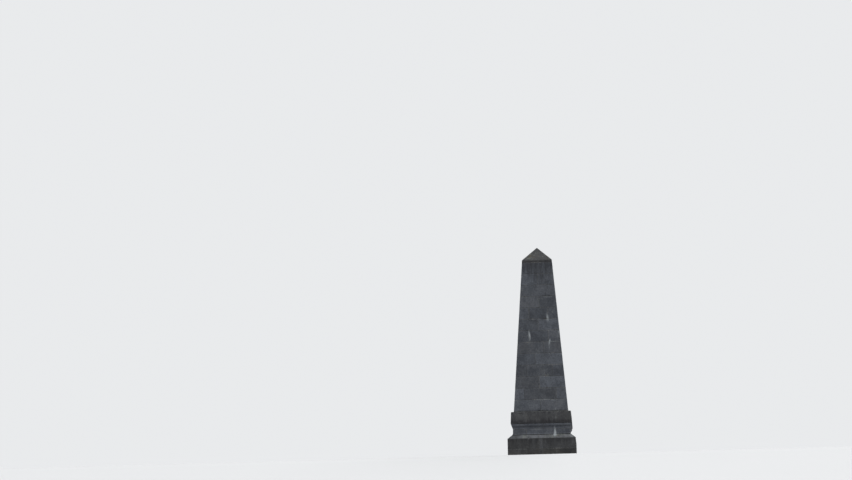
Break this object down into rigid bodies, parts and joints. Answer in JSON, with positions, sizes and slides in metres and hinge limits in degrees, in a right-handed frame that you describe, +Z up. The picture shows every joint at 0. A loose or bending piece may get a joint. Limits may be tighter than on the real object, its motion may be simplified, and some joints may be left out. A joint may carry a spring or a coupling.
{
  "type": "stone obelisk",
  "caption": "Free-standing stone obelisk: stepped and moulded square pedestal with a battered cap, tapering coursed shaft and a low pyramid top.",
  "frame": {"origin": "on the ground at the centre of the square base", "axes": "+Z up along the axis of the shaft, front face towards -Y, +X to the right of the front face"},
  "size_m": [3.666, 3.666, 10.595],
  "materials": {
    "shaft_stone": "dark weathered grey ashlar, finely tooled, with pale lime runs and lichen",
    "pedestal_stone": "dark weathered grey ashlar, rubbed mouldings, sooty under the ledges",
    "capstone_stone": "dark grey stone, rain-washed above a sooty band, with lichen",
    "backing_masonry": "rough backing masonry in lime mortar"
  },
  "bodies": {
    "root": {"base_step_back": "pedestal_stone", "base_step_front": "pedestal_stone", "base_step_left": "pedestal_stone", "base_step_right": "pedestal_stone", "bed_mould_back": "pedestal_stone", "bed_mould_front": "pedestal_stone", "bed_mould_left": "pedestal_stone", "bed_mould_right": "pedestal_stone", "cap_back": "pedestal_stone", "cap_front": "pedestal_stone", "cap_left": "pedestal_stone", "cap_right": "pedestal_stone", "capstone": "capstone_stone", "die_back": "pedestal_stone", "die_front": "pedestal_stone", "die_left": "pedestal_stone", "die_right": "pedestal_stone", "pedestal_core": "backing_masonry", "plinth_lower_back": "pedestal_stone", "plinth_lower_front": "pedestal_stone", "plinth_lower_left": "pedestal_stone", "plinth_lower_right": "pedestal_stone", "plinth_upper_back": "pedestal_stone", "plinth_upper_front": "pedestal_stone", "plinth_upper_left": "pedestal_stone", "plinth_upper_right": "pedestal_stone", "shaft_course_01": "shaft_stone", "shaft_course_02": "shaft_stone", "shaft_course_03": "shaft_stone", "shaft_course_04": "shaft_stone", "shaft_course_05": "shaft_stone", "shaft_course_06": "shaft_stone", "shaft_course_07": "shaft_stone", "shaft_course_08": "shaft_stone", "shaft_course_09": "shaft_stone", "shaft_course_10": "shaft_stone", "shaft_course_11": "shaft_stone", "shaft_course_12": "shaft_stone", "shaft_course_13": "shaft_stone"}
  },
  "joints": []
}
